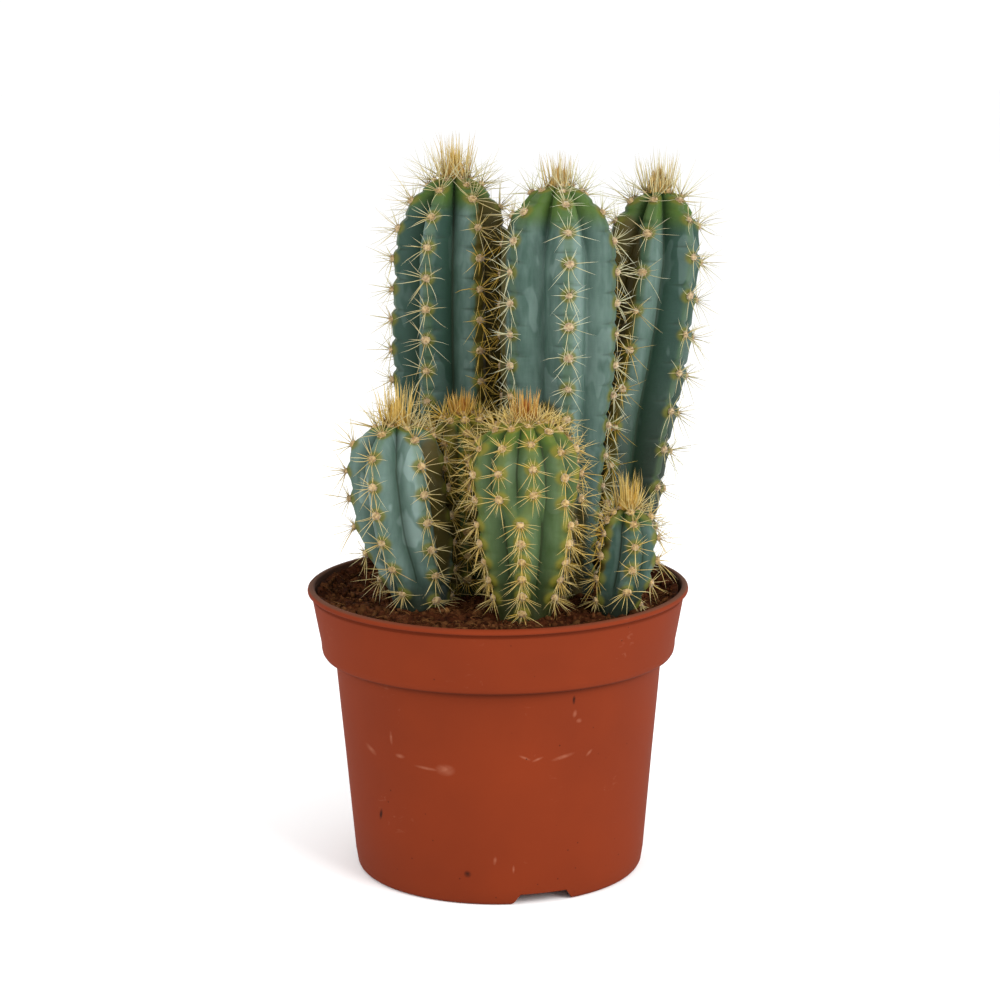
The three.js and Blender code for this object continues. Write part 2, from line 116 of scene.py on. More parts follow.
def cut(body, cutter):
    """Takes the cutter's shape out of the body."""
    hand(body)
    carve = body.modifiers.new('cut', 'BOOLEAN')
    carve.operation = 'DIFFERENCE'
    carve.object = cutter
    carve.solver = 'EXACT'
    bpy.ops.object.modifier_apply(modifier=carve.name)
    bpy.data.objects.remove(cutter)


bpy.ops.object.select_all(action='DESELECT')
radius, height = POT_OUTSIDE[0]
bpy.ops.mesh.primitive_circle_add(vertices=POT_SIDES, radius=radius * MM,
                                  location=(0, 0, height * MM))
pot = bpy.context.object
pot.name = 'pot_shell'
bpy.ops.object.transform_apply(location=True)
bpy.ops.object.mode_set(mode='EDIT')
bpy.ops.mesh.select_all(action='SELECT')
bpy.ops.mesh.edge_face_add()
pull(POT_OUTSIDE + POT_INSIDE)
close_up()
for i in range(NOTCHES):
    bpy.ops.mesh.primitive_cube_add(size=1, location=(0, 0, 0))
    notch = bpy.context.object
    for corner in notch.data.vertices:
        wide = NOTCH_WIDE if corner.co.z < 0 else NOTCH_NARROW
        corner.co.x *= wide * MM
        corner.co.y = (-NOTCH_RING + NOTCH_REACH * corner.co.y) * MM
        corner.co.z = (NOTCH_HEIGHT if corner.co.z > 0 else -1) * MM
    turn = math.radians(NOTCH_TURN + 360 / NOTCHES * i)
    notch.data.transform(Matrix.Rotation(turn, 4, 'Z'))
    cut(pot, notch)
for i in range(DRAINS):
    turn = math.radians(360 / DRAINS * (i + 0.5))
    x, y = DRAIN_RING * math.cos(turn), DRAIN_RING * math.sin(turn)
    bpy.ops.mesh.primitive_cylinder_add(
        vertices=32, radius=DRAIN_RADIUS * MM, depth=DRAIN_DEPTH * MM,
        location=(x * MM, y * MM, DRAIN_MIDDLE * MM))
    cut(pot, bpy.context.object)
# The thin rim sags a little at the front, between the hands that carried it. Peat dust has
# settled on it and on the wall inside it, most of all at the back.
dust = pot.data.attributes.new('dust', 'FLOAT', 'POINT')
for v, mark in zip(pot.data.vertices, dust.data):
    x, y, z = v.co / MM
    front = max(0, -y / BAND_TOP_RADIUS) ** 2
    v.co.z -= RIM_SAG * MM * front * max(0, (z - SAG_FROM) / SAG_HEIGHT) ** 2
    middle_of_wall = 78.4 + 0.18 * (z - 103)
    inner = z > DUSTY_LIP or z > DUSTY_FROM and math.hypot(x, y) < middle_of_wall
    mark.value = inner * max(0, 1 - front) ** 0.5
hand(pot)
bpy.ops.object.shade_smooth_by_angle(angle=math.radians(SHARP_ANGLE))


def linear(code):
    """An sRGB hex colour as linear light."""
    shares = [int(code[i:i + 2], 16) / 255 for i in (1, 3, 5)]
    return [s / 12.92 if s <= 0.04045 else ((s + 0.055) / 1.055) ** 2.4 for s in shares] + [1]


def wire(node, links):
    """Gives each input of a node a value, a socket, or the first output of another node."""
    for name, value in links.items():
        if isinstance(value, bpy.types.Node):
            value = value.outputs[0]
        if isinstance(value, bpy.types.NodeSocket):
            node.id_data.links.new(value, node.inputs[name])
        else:
            node.inputs[name].default_value = value


def add_node(material, kind, links=None, stops=(), **settings):
    """Adds a node with its links and settings. Stops are the places and colours of a ramp."""
    node = material.node_tree.nodes.new('ShaderNode' + kind)
    for name, value in settings.items():
        setattr(node, name, value)
    while stops and len(node.color_ramp.elements) < len(stops):
        node.color_ramp.elements.new(1)
    for i, (position, colour) in enumerate(stops):
        node.color_ramp.elements[i].position = position
        node.color_ramp.elements[i].color = (
            linear(colour) if isinstance(colour, str) else [colour] * 3 + [1])
    wire(node, links or {})
    return node


def new_material(name):
    """A new material and its shader."""
    material = bpy.data.materials.new(name)
    material.use_nodes = True
    return material, material.node_tree.nodes['Principled BSDF']


# Moulded polypropylene, terracotta coloured: an even, satin surface whose colour is a little
# uneven where the melt flowed, with pale rubbed marks and a few dark specks from handling.
POT_COLOUR = '#6e2910'
POT_DEEP = '#67260f'
POT_PALE = '#8d5540'
POT_DARK = '#2c1108'
POT_DUST = '#4b382a'
# Marks of handling: place on the wall, half length and half height, and lean in degrees.
RUBS = [
    (-55.8, -42.7, 64.4, 4.5, 1.6, 25), (-46.5, -53.6, 72.5, 1, 3.6, 0),
    (-42.7, -55.9, 65.1, 3, 1.2, 0), (-23, -66, 61.8, 5, 3, 0), (-31, -62.8, 61.6, 7, 0.9, 4),
    (11, -69.8, 68, 3.2, 0.7, 25), (16.5, -68.6, 67, 3, 0.7, -20), (27.5, -65, 67, 6, 1.1, -12),
    (38.7, -58.7, 67, 2.4, 0.9, -40), (32.5, -64.5, 86, 1.2, 2, 10),
    (34.4, -63.3, 82.5, 1.6, 1.2, 0), (-2, -66.4, 21.1, 0.9, 2.2, 8), (6, -66, 17, 0.6, 2.2, 0),
]
TICKS = [(32.1, -65.2, 92.2, 0.9, 2.4, 0), (-51.8, -43.5, 35.1, 1.2, 3.4, 20),
         (-14, -65, 14.5, 2, 2, 0)]
RUB_STRENGTH = 1.25
TICK_STRENGTH = 2.6
MARK_DEPTH = 4
# The sockets of a Mix node that blends two colours.
SHARE, UNDER, OVER, MIXED = 0, 6, 7, 2

plastic, shader = new_material('polypropylene_terracotta')
place = add_node(plastic, 'TexCoord').outputs['Object']
# Flow marks, 40 mm across.
flow = add_node(plastic, 'TexNoise', {'Vector': place, 'Scale': 25.0, 'Detail': 3.0})
body = add_node(plastic, 'ValToRGB', {'Fac': flow}, [(0.3, POT_DEEP), (0.7, POT_COLOUR)])
# Faint smears all over, wider than high, kept to a few places by a coarse mask.
smear = add_node(plastic, 'Mapping', {'Vector': place, 'Scale': (1, 1, 2.4)})
rub = add_node(plastic, 'TexNoise',
               {'Vector': smear, 'Scale': 170.0, 'Detail': 4.0, 'Distortion': 1.2})
where = add_node(plastic, 'TexNoise', {'Vector': place, 'Scale': 38.0, 'Detail': 1.0})
rubbed = add_node(plastic, 'Math', {0: rub, 1: where}, operation='MULTIPLY')
marks = add_node(plastic, 'ValToRGB', {'Fac': rubbed}, [(0.42, 0), (0.5, 0.22)])
layers = [(marks, POT_PALE)]
# The plain rubs and ticks, each a frayed patch on the wall at its place.
for group, tint, strength in ((RUBS, POT_PALE, RUB_STRENGTH), (TICKS, POT_DARK, TICK_STRENGTH)):
    strongest = 0.0
    for x, y, z, half_length, half_height, lean in group:
        patch = add_node(plastic, 'Mapping', {
            'Vector': place, 'Location': (x * MM, y * MM, z * MM),
            'Rotation': (0, math.radians(lean), math.atan2(x, -y)),
            'Scale': (half_length * MM, MARK_DEPTH * MM, half_height * MM),
        }, vector_type='TEXTURE')
        spot = add_node(plastic, 'TexGradient', {'Vector': patch}, gradient_type='SPHERICAL')
        strongest = add_node(plastic, 'Math', {0: strongest, 1: spot.outputs['Fac']},
                             operation='MAXIMUM')
    frayed = add_node(plastic, 'Math', {0: strongest, 1: rub}, operation='MULTIPLY')
    share = add_node(plastic, 'Math', {0: frayed, 1: strength}, operation='MULTIPLY',
                     use_clamp=True)
    layers.append((share, tint))
# Painted shade: dark bands in the corners under the band and under the lip, at shares of the
# pot's height, where shade falls.
height = add_node(plastic, 'SeparateXYZ', {'Vector': place}).outputs['Z']
level = add_node(plastic, 'Math', {0: height, 1: LIP_TOP * MM}, operation='DIVIDE')
corner = add_node(plastic, 'ValToRGB', {'Fac': level}, [
    (0.735, 0), (0.751, 0.5), (0.762, 0.5), (0.766, 0), (0.954, 0), (0.966, 0.3), (0.974, 0.3),
    (0.977, 0)])
dust = add_node(plastic, 'Attribute', attribute_name='dust').outputs['Fac']
settled = add_node(plastic, 'Math', {0: dust, 1: 0.8}, operation='MULTIPLY')
# Specks of peat, 1 mm across.
grit = add_node(plastic, 'TexVoronoi', {'Vector': place, 'Scale': 130.0})
speck = add_node(plastic, 'ValToRGB', {'Fac': grit}, [(0.03, 0.7), (0.06, 0)])
layers += [(corner, POT_DARK), (settled, POT_DUST), (speck, POT_DARK)]
colour = body
for share, tint in layers:
    colour = add_node(plastic, 'Mix', {SHARE: share, UNDER: colour, OVER: linear(tint)},
                      data_type='RGBA').outputs[MIXED]
# The mould's spark-eroded grain, drawn 1 mm coarse so that it shows.
grain = add_node(plastic, 'TexNoise', {'Vector': place, 'Scale': 900.0, 'Detail': 2.0})
bump = add_node(plastic, 'Bump', {'Strength': 0.12, 'Distance': 0.2 * MM, 'Height': grain})
dull = add_node(plastic, 'MapRange', {'Value': flow, 'To Min': 0.66, 'To Max': 0.78})
wire(shader, {'Base Color': colour, 'Normal': bump, 'Roughness': dull, 'IOR': 1.49,
              'Specular IOR Level': 0.07})

pot.data.materials.clear()
pot.data.materials.append(plastic)
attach(pot, 'root')
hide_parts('pot')


# ---------- Soil ----------
# Peat compost that fills the pot: clods, crumbs and thin root fibres, with a few grains of pale
# grit. It is pressed into the pot, and banked up a little against its wall.

SOIL_RIM = 121.8
SOIL_RADIUS = BAND_TOP_RADIUS - WALL - 0.9
SOIL_MOUND = 2.2
SOIL_BANK = 5.8
SOIL_CUTS = 72
# Radius and height of the sides, from the rim down to the pot's floor.
SOIL_SIDES = [(77.3, 104.2), (76.2, 101.1), (71.1, 98.8), (63.4, 9.2), (61.2, 7.4)]


def smoothstep(value, low, high):
    """From 0 at low to 1 at high, flat at both ends."""
    t = np.clip((value - low) / (high - low), 0, 1)
    return t * t * (3 - 2 * t)


def soil_level(x, y):
    """The height of the soil's smooth surface, which is banked up against the pot's wall."""
    reach = np.hypot(x, y) / (BAND_TOP_RADIUS - WALL)
    lumps = 0.6 * np.sin(0.23 * x + 1) * np.cos(0.19 * y) + 0.4 * np.sin(0.41 * x - 0.33 * y + 2)
    behind = 0.8 + 0.2 * y / np.maximum(np.hypot(x, y), 1)
    bank = SOIL_BANK * behind * smoothstep(reach, 0.88, 1)
    return SOIL_RIM + SOIL_MOUND * (1 - reach ** 2) + lumps + bank


def clods(x, y):
    """How far clods 9, 4 and 2 mm wide raise the surface over its smooth level."""
    point = Vector((x, y, 0))
    coarse = noise.noise(point / 9)
    middle = noise.noise(point / 4 + Vector((0, 0, 7)))
    fine = noise.noise(point / 1.9 + Vector((0, 0, 3)))
    return 1.7 * coarse + 1.5 * abs(middle) + 0.7 * fine


bpy.ops.object.select_all(action='DESELECT')
bpy.ops.mesh.primitive_circle_add(vertices=6, radius=SOIL_RADIUS * MM, fill_type='TRIFAN')
soil = bpy.context.object
soil.name = 'soil_body'
bpy.ops.object.mode_set(mode='EDIT')
bpy.ops.mesh.select_all(action='SELECT')
bpy.ops.mesh.subdivide(number_cuts=SOIL_CUTS)
surface = bmesh.from_edit_mesh(soil.data)
for v in surface.verts:
    x, y = v.co.x / MM, v.co.y / MM
    # The six-sided fan is drawn out into a round disc.
    corner = math.radians((math.degrees(math.atan2(y, x)) - 90) % 60 - 30)
    stretch = math.cos(corner) / math.cos(math.radians(30))
    x, y = x * stretch, y * stretch
    # The clods are lower in the last 3 mm before the wall.
    edge = min(1, (SOIL_RADIUS - math.hypot(x, y)) / 3)
    height = soil_level(x, y) + (0.35 + 0.65 * max(0, edge)) * clods(x, y)
    v.co = Vector((x, y, height)) * MM
for edge in surface.edges:
    edge.select_set(edge.is_boundary)
bmesh.update_edit_mesh(soil.data)
bpy.ops.mesh.select_mode(type='EDGE')
pull([(SOIL_RADIUS, SOIL_RIM)] + SOIL_SIDES)
bpy.ops.transform.resize(value=(1, 1, 0), center_override=(0, 0, SOIL_SIDES[-1][1] * MM))
bpy.ops.mesh.edge_face_add()
bpy.ops.mesh.select_mode(type='VERT')
close_up()

# Where each stem stands, and how wide it is there: nothing of the soil lies inside it.
FEET = [(-20, 38, 20.8), (25.5, 6, 17.7), (51.5, 32, 16), (-34, -20, 12.4),
        (11.6, -42, 12), (51, -34, 8.3), (-15.5, 1, 9.6)]
FOOT_DEPTH = 16.5
FOOT_PLAY = 0.6
# The cutter stands out of the soil by this.
FOOT_RISE = 8
for x, y, radius in FEET:
    depth = FOOT_DEPTH + FOOT_RISE
    middle = soil_level(x, y) - FOOT_DEPTH + depth / 2
    bpy.ops.mesh.primitive_cylinder_add(
        vertices=40, radius=(radius - FOOT_PLAY) * MM, depth=depth * MM,
        location=(x * MM, y * MM, middle * MM))
    cut(soil, bpy.context.object)


def shape_of(primitive):
    """The points and faces of a primitive, which is then taken away."""
    points = np.array([v.co for v in primitive.data.vertices])
    faces = [list(face.vertices) for face in primitive.data.polygons]
    bpy.data.objects.remove(primitive)
    return points, faces


def repeated(faces, size, count):
    """The faces of a shape of so many points, for each of its copies."""
    return [[size * k + i for i in face] for k in range(count) for face in faces]


def lay_mesh(name, points, faces, **marks):
    """A new object from points in millimetres and faces, with numbers that its material reads."""
    mesh = bpy.data.meshes.new(name)
    mesh.from_pydata((np.asarray(points) * MM).tolist(), [], faces)
    for mark, values in marks.items():
        layer = mesh.attributes.new(mark, 'FLOAT', 'POINT')
        layer.data.foreach_set('value', np.asarray(values, np.float32))
    mesh.polygons.foreach_set('use_smooth', [True] * len(mesh.polygons))
    piece = bpy.data.objects.new(name, mesh)
    scene.collection.objects.link(piece)
    return piece


def strands(roots, tips, bows, widths, sides, steps):
    """Thin rods that taper to a point, bowed in the middle.

    Gives their points and faces, each point's share of the way along, and the points of one rod.
    """
    length = tips - roots
    way = length / np.linalg.norm(length, axis=1, keepdims=True)
    helper = np.where(np.abs(way[:, 2:]) < 0.9, [[0.0, 0.0, 1.0]], [[1.0, 0.0, 0.0]])
    first = np.cross(way, helper)
    first /= np.linalg.norm(first, axis=1, keepdims=True)
    second = np.cross(way, first)
    rows = []
    shares = []
    for step in range(steps):
        t = step / steps
        centre = roots + length * t + bows * 4 * t * (1 - t)
        half = (widths / 2 * (1 - t) ** 0.6)[:, None]
        for side in range(sides):
            turn = 2 * math.pi * side / sides
            rows.append(centre + half * (first * math.cos(turn) + second * math.sin(turn)))
            shares.append(t)
    rows.append(tips)
    shares.append(1.0)
    points = np.stack(rows, axis=1)
    one = [list(range(sides))[::-1]]
    for step in range(steps - 1):
        for side in range(sides):
            a, b = step * sides + side, step * sides + (side + 1) % sides
            one.append([a, b, b + sides, a + sides])
    top = (steps - 1) * sides
    one += [[top + side, top + (side + 1) % sides, steps * sides] for side in range(sides)]
    count = points.shape[1]
    faces = repeated(one, count, len(roots))
    return points.reshape(-1, 3), faces, np.tile(shares, len(roots)), count


def scatter(count, margin):
    """Places on the soil outside the stems, as x and y."""
    found = []
    while len(found) < count:
        x, y = rng.uniform(-SOIL_RADIUS, SOIL_RADIUS, 2)
        inside = math.hypot(x, y) < SOIL_RADIUS - margin
        if inside and all(math.hypot(x - a, y - b) > r - 0.3 for a, b, r in FEET):
            found.append((x, y))
    return np.array(found)


# Crumbs: lumps of twenty faces each, of every size up to a pea, pressed into the surface. A few
# of them are pale grit.
CRUMBS = 3000
CRUMB_SMALLEST = 0.4
CRUMB_RANGE = 1.7
GRIT_SHARE = 0.015
GRIT_TONE = 0.9
rng = np.random.default_rng(5)
bpy.ops.mesh.primitive_ico_sphere_add(subdivisions=1, radius=1)
lump_points, lump_faces = shape_of(bpy.context.object)
places = scatter(CRUMBS, 1.0)
sizes = CRUMB_SMALLEST + CRUMB_RANGE * rng.random(CRUMBS) ** 3.5
points = []
for (x, y), size in zip(places, sizes):
    spin = np.linalg.qr(rng.normal(size=(3, 3)))[0]
    rough = rng.uniform(0.55, 1.45, (len(lump_points), 1))
    shape = lump_points * rough * rng.uniform(0.4, 1.3, 3)
    height = soil_level(x, y) + clods(x, y) + 0.1 * size
    points.append(shape * size @ (spin * np.linalg.det(spin)) + (x, y, height))
tones = np.where(rng.random(CRUMBS) < GRIT_SHARE, GRIT_TONE, 0.3 * rng.random(CRUMBS) ** 1.5)
crumbs = lay_mesh('soil_crumbs', np.concatenate(points),
                  repeated(lump_faces, len(lump_points), CRUMBS),
                  tone=np.repeat(tones, len(lump_points)))

# Fibres: dead roots and stalks of moss that lie on the crumbs, bent up in the middle.
FIBRES = 700
places = scatter(FIBRES, 4.0)
turns = rng.uniform(0, 2 * math.pi, FIBRES)
reach = rng.uniform(1.5, 4.5, FIBRES)
ways = np.stack([np.cos(turns), np.sin(turns)], axis=1) * reach[:, None]
ends = []
for flat in (places - ways, places + ways):
    height = [soil_level(x, y) + clods(x, y) + 0.3 for x, y in flat]
    ends.append(np.column_stack([flat, height]))
bows = np.column_stack([rng.normal(0, 0.8, (FIBRES, 2)), rng.uniform(0.2, 1.4, FIBRES)])
widths = rng.uniform(0.2, 0.45, FIBRES)
points, faces, _, count = strands(ends[0], ends[1], bows, widths, 4, 5)
fibres = lay_mesh('soil_fibres', points, faces,
                  tone=np.repeat(0.8 * rng.random(FIBRES) ** 2, count))

# Damp peat: nearly black where it lies deep and reddish brown where it dries, dull all over.
peat, shader = new_material('peat')
place = add_node(peat, 'TexCoord').outputs['Object']
# Clods 6 mm across and crumbs 1 mm across.
clod = add_node(peat, 'TexNoise',
                {'Vector': place, 'Scale': 160.0, 'Detail': 6.0, 'Roughness': 0.7})
brown = add_node(peat, 'ValToRGB', {'Fac': clod},
                 [(0.34, '#1a0803'), (0.52, '#391b0b'), (0.7, '#56331d')])
tone = add_node(peat, 'Attribute', attribute_name='tone').outputs['Fac']
mixed = add_node(peat, 'Mix', {SHARE: tone, UNDER: brown, OVER: linear('#75512d')},
                 data_type='RGBA')
crumb = add_node(peat, 'TexNoise', {'Vector': place, 'Scale': 1100.0, 'Detail': 4.0})
bump = add_node(peat, 'Bump', {'Strength': 0.7, 'Distance': 0.6 * MM, 'Height': crumb})
wire(shader, {'Base Color': mixed.outputs[MIXED], 'Normal': bump, 'Roughness': 0.95,
              'Specular IOR Level': 0.04})

for piece in (soil, crumbs, fibres):
    piece.data.materials.clear()
    piece.data.materials.append(peat)
    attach(piece, 'root')
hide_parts('soil')


# ---------- Stems ----------
# Seven living columns of water-filled tissue under a tough skin with a blue-green bloom of wax.
# Each is drawn up from its foot in the soil, by rows of points that follow its ribs.

# A station is height above the soil, axis x, axis y and radius over the crests. The tip is where
# the axis ends, as high over the last station as the dome says. A storey is a stretch with its
# own number of ribs: first is the angle of its first crest from the front, depth how far the
# grooves lie in as a share of the radius, starts the first areoles' places up each rib, and pitch
# the way from one to the next. Flat is the share of a rib's top that is level, and fold how its
# flanks fall away.
# The skin: young is the green length under the tip, and aged the height up to which painted
# shade darkens the skin and thins its wax. Wax is how thick the bloom is on the crests, and how
# much thicker on left flanks than on right ones, which paints one flank paler as painted light;
# stripe the angle, width and strength of an upright stripe where the bloom is thickest, and
# film how plain its pale islands of painted highlight are; groove is how dark the
# grooves are painted, as painted shade, and creased how deep the creases over the areoles are and
# how dark their painted shade is.
# The spines: spine is the longest, gold how golden they are, droop the height under which they
# hang down, and flare how much longer they are at the tip. The tuft there is so high, with a
# golden flame as wide as core, and crown is how golden and how rusty it is.
STEMS = {
    'stem_tall_left': dict(
        stations=[(0, -20, 38, 20.5), (35, -20, 38, 24), (70, -20, 38, 26.2),
                  (110, -20.4, 38, 26.6), (146, -20.1, 38, 26)],
        tip=(-18.6, 38), dome=38, flat=0.18, fold=1.15,
        storeys=[dict(ribs=7, first=-23.2, depth=0.32, pitch=13.7,
                      starts=(4.8, 13.5, 8, 3, 10, 6, 12))],
        young=24, aged=30, wax=(0.1, 0.4), stripe=(0, 9, 0), film=0.2, groove=1.0, creased=1.0,
        spine=17, gold=0.3, droop=-40, flare=0.3, tuft=20, core=4.4, crown=(0.95, 0.12), seed=11),
    'stem_tall_middle': dict(
        stations=[(0, 25.5, 6, 17.5), (35, 25.6, 6, 20), (73, 26.2, 6, 22.8),
                  (95, 26.9, 6, 25.3), (145, 27.5, 6, 26)],
        tip=(27.8, 6), dome=37, flat=0.26, fold=1.3,
        storeys=[dict(ribs=6, first=8.5, depth=0.28, pitch=13.6,
                      starts=(1.5, 9.8, 5, 12, 7, 10.7))],
        young=28, aged=30, wax=(0.4, 0), stripe=(16, 8, 0.5), film=0.3, groove=0.6, creased=0.9,
        spine=14, gold=0.05, droop=-40, flare=0.2, tuft=15, core=4.2, crown=(0.7, 0.25), seed=12),
    'stem_tall_right': dict(
        stations=[(0, 51.5, 32, 15.5), (20, 52.8, 35.5, 19.2), (43, 54.8, 39.6, 22.3),
                  (75, 58.4, 44, 25), (104, 64.2, 46, 25), (142, 70.2, 47, 23)],
        tip=(74, 48.5), dome=35, flat=0.16, fold=1.15,
        storeys=[dict(ribs=6, first=-12, depth=0.34, pitch=17.3,
                      starts=(5.1, 10.8, 6, 12, 3, 10))],
        young=26, aged=170, wax=(0.25, -0.6), stripe=(0, 9, 0), film=0.3, groove=0.97,
        creased=1.0, spine=17, gold=0.2, droop=-40, flare=0.3, tuft=19, core=5.0,
        crown=(0.45, 0.05), seed=13),
    'stem_front_left': dict(
        stations=[(0, -34, -20, 11.8), (7, -34.8, -20, 13.2), (18, -37, -20.5, 16.8),
                  (34, -41, -21, 19.9), (62, -44.2, -22, 20.4)],
        tip=(-43.5, -22), dome=19, flat=0.14, fold=1.08,
        storeys=[dict(ribs=6, first=33, depth=0.28, pitch=12.4, starts=(4.5, 4, 11, 6, 12, 8))],
        young=8, aged=22, wax=(0.75, 0.05), stripe=(0, 9, 0), film=1.0, groove=0.97,
        creased=0.25, spine=15, gold=0.5, droop=12, flare=0.2, tuft=20, core=4.2,
        crown=(1, 0.1), seed=14),
    'stem_front_globe': dict(
        stations=[(0, 11.6, -42, 11.5), (11, 12, -42, 14.2), (25, 12.5, -42, 18.4),
                  (40, 12.5, -42, 21.6), (64, 11.8, -42, 23)],
        tip=(11.9, -42), dome=22, flat=0.15, fold=1.2,
        storeys=[dict(ribs=6, first=-7, depth=0.3, pitch=8.4, top=50,
                      starts=(4.2, 10.5, 6.5, 8, 6.5, 10)),
                 dict(ribs=10, first=-28.4, depth=0.14, pitch=11,
                      starts=(5, 7.4, 2.5, 2, 5, 3, 6, 2, 5, 3))],
        young=22, aged=40, wax=(0.3, -0.1), stripe=(0, 9, 0), film=0.3, groove=1.0,
        creased=0.35, spine=13, gold=0.68, droop=52, flare=-0.05, tuft=14, core=3.6,
        crown=(1, 1), seed=15),
    'stem_front_right': dict(
        stations=[(0, 51, -34, 7.8), (6, 52, -34, 9.6), (15, 54, -34, 11.6),
                  (24, 55.8, -34, 12), (34, 56.8, -34, 11.4)],
        tip=(56, -34), dome=13, flat=0.18, fold=1.2,
        storeys=[dict(ribs=5, first=10, depth=0.32, pitch=10, starts=(12.2, 4, 8, 5, 7))],
        young=9, aged=24, wax=(0.15, 0.2), stripe=(-28, 9, 0.6), film=0.4, groove=1.0,
        creased=0.4, spine=14, gold=0.6, droop=14, flare=-0.1, tuft=17, core=3.4,
        crown=(1, 0.15), seed=16),
    'stem_back_small': dict(
        stations=[(0, -15.5, 1, 9.5), (25, -15.5, 1, 12.4), (50, -15.5, 1, 13),
                  (70, -15.4, 1, 12.2)],
        tip=(-15.4, 1), dome=12, flat=0.18, fold=1.2,
        storeys=[dict(ribs=8, first=10, depth=0.2, pitch=11, starts=(9, 4) * 4)],
        young=12, aged=50, wax=(0.1, 0), stripe=(0, 9, 0), film=0.2, groove=1.0, creased=0.5,
        spine=14, gold=0.9, droop=30, flare=-0.15, tuft=11.5, core=3.4, crown=(0.9, 0.8),
        seed=17),
}
ROOT_DEPTH = 16
ROOT_NECK = 3
# The height at which the ribs are full.
RIBS_FULL = 14
ROW_STEP = 0.9
COLUMNS_EACH = 22
# Where the ribs change their number, the columns of points suit both numbers.
COLUMNS_STOREYS = 180
# The swelling under an areole: its height, half length and half width. Over it lies a pinch, and
# in that a crease: how deep, how far over the areole, half as thick and half as wide as what.
SWELL, SWELL_LONG, SWELL_WIDE = 1.4, 3.0, 3.4
PINCH, PINCH_UP, PINCH_THICK, PINCH_WIDE = 1.3, 4.4, 1.1, 4.5
CREASE, CREASE_UP, CREASE_THICK, CREASE_WIDE = 0.35, 4.6, 0.8, 8
# No stem grows quite even: height, length and turn of the waves in its skin.
WAVES = [(0.22, 9, 1), (0.2, 14, 2), (0.12, 5, 3)]
# How far before the skin another stem is looked for, and how near it is when it begins to give
# painted shade and when that painted shade is full.
LOOK_AHEAD = (4, 9, 15, 22)
OPEN, SHELTERED = 7, 1


def along(stations, column, height):
    """A column of the stations at a height, by a smooth curve through them."""
    rows = np.array(stations, float)
    last = len(rows) - 1
    if height <= rows[0, 0]:
        return rows[0, column]
    if height >= rows[last, 0]:
        return rows[last, column]
    i = int(np.searchsorted(rows[:, 0], height, side='right')) - 1
    slopes = []
    for k in (i, i + 1):
        a, b = rows[max(k - 1, 0)], rows[min(k + 1, last)]
        slopes.append((b[column] - a[column]) / (b[0] - a[0]))
    span = rows[i + 1, 0] - rows[i, 0]
    t = (height - rows[i, 0]) / span
    low, high = rows[i, column], rows[i + 1, column]
    level = low * (2 * t ** 3 - 3 * t ** 2 + 1) + high * (3 * t ** 2 - 2 * t ** 3)
    bend = slopes[0] * span * (t ** 3 - 2 * t ** 2 + t)
    return level + bend + slopes[1] * span * (t ** 3 - t ** 2)


def outline_of(stem):
    """The stem from foot to tip: height, axis x and y, radius, and reach along the skin."""
    shoulder, x, y, shoulder_radius = stem['stations'][-1]
    rows = []
    for height in np.arange(-ROOT_DEPTH, shoulder, 1.0):
        a, b, radius = (along(stem['stations'], column, height) for column in (1, 2, 3))
        rows.append((height, a, b, radius * (1 + 0.02 * min(height, 0))))
    for turn in np.linspace(0, math.pi / 2, 61):
        rise = math.sin(turn)
        rows.append((shoulder + stem['dome'] * rise, x + (stem['tip'][0] - x) * rise,
                     y + (stem['tip'][1] - y) * rise, shoulder_radius * math.cos(turn)))
    rows = np.array(rows)
    steps = np.hypot(np.diff(rows[:, 0]), np.diff(rows[:, 3]))
    reach = rows[0, 0] + np.concatenate([[0], np.cumsum(steps)])
    return dict(height=rows[:, 0], x=rows[:, 1], y=rows[:, 2], radius=rows[:, 3], reach=reach)


def read(stem, name, reach):
    """A measure of the stem's outline at a reach."""
    return np.interp(reach, stem['outline']['reach'], stem['outline'][name])


def rib_shape(stem, height, angle):
    """How far the skin lies inside the crests as a share of the radius, and where on its rib.

    Across runs from -1 in the groove at the rib's left to 1 in the groove at its right.
    """
    inset = 0.0
    across = 0.0
    weight = 1.0
    shoulder = stem['stations'][-1][0]
    above = smoothstep(height, shoulder, shoulder + 0.8 * stem['dome'])
    flat = stem['flat'] + 0.12 * above
    lowest = stem['storeys'][0]
    for storey in stem['storeys'][::-1]:
        turn = (angle - math.radians(storey['first'])) * storey['ribs'] / math.pi
        off = (turn + 1) % 2 - 1
        fall = np.clip((np.abs(off) - flat) / (1 - flat), 0, 1) ** stem['fold']
        here = weight
        if storey is not lowest:
            here = weight * smoothstep(height, lowest['top'] - 7, lowest['top'] + 7)
        inset = inset + here * storey['depth'] * (1 + 0.7 * above) * fall
        across = across + here * off
        weight = weight - here
    return inset * smoothstep(height, -ROOT_NECK, RIBS_FULL), across


def skin_point(stem, reach, angle, inset):
    """Points of the skin in millimetres."""
    radius = read(stem, 'radius', reach) * (1 - inset)
    return np.stack([read(stem, 'x', reach) + radius * np.sin(angle),
                     read(stem, 'y', reach) - radius * np.cos(angle),
                     stem['base'] + read(stem, 'height', reach) + 0 * angle], axis=-1)


def place_areoles(stem):
    """Reach and angle of every areole: evenly up each crest, then ever closer to the tip."""
    line = stem['outline']
    tip = line['reach'][-1]
    found = []
    start = 0.0
    for storey in stem['storeys']:
        top = storey.get('top')
        end = np.interp(top, line['height'], line['reach']) if top else tip - 3.2
        for rib in range(storey['ribs']):
            angle = math.radians(storey['first'] + 360 / storey['ribs'] * rib)
            reach = start + storey['starts'][rib]
            while reach < end - 4:
                found.append((reach, angle))
                reach += storey['pitch']
            step = 0.62 * storey['pitch']
            reach += step - storey['pitch']
            while not top and reach < tip - 1.5:
                found.append((reach, angle))
                step *= 0.72
                reach += max(step, 1.8)
        start = end
    return np.array(found)


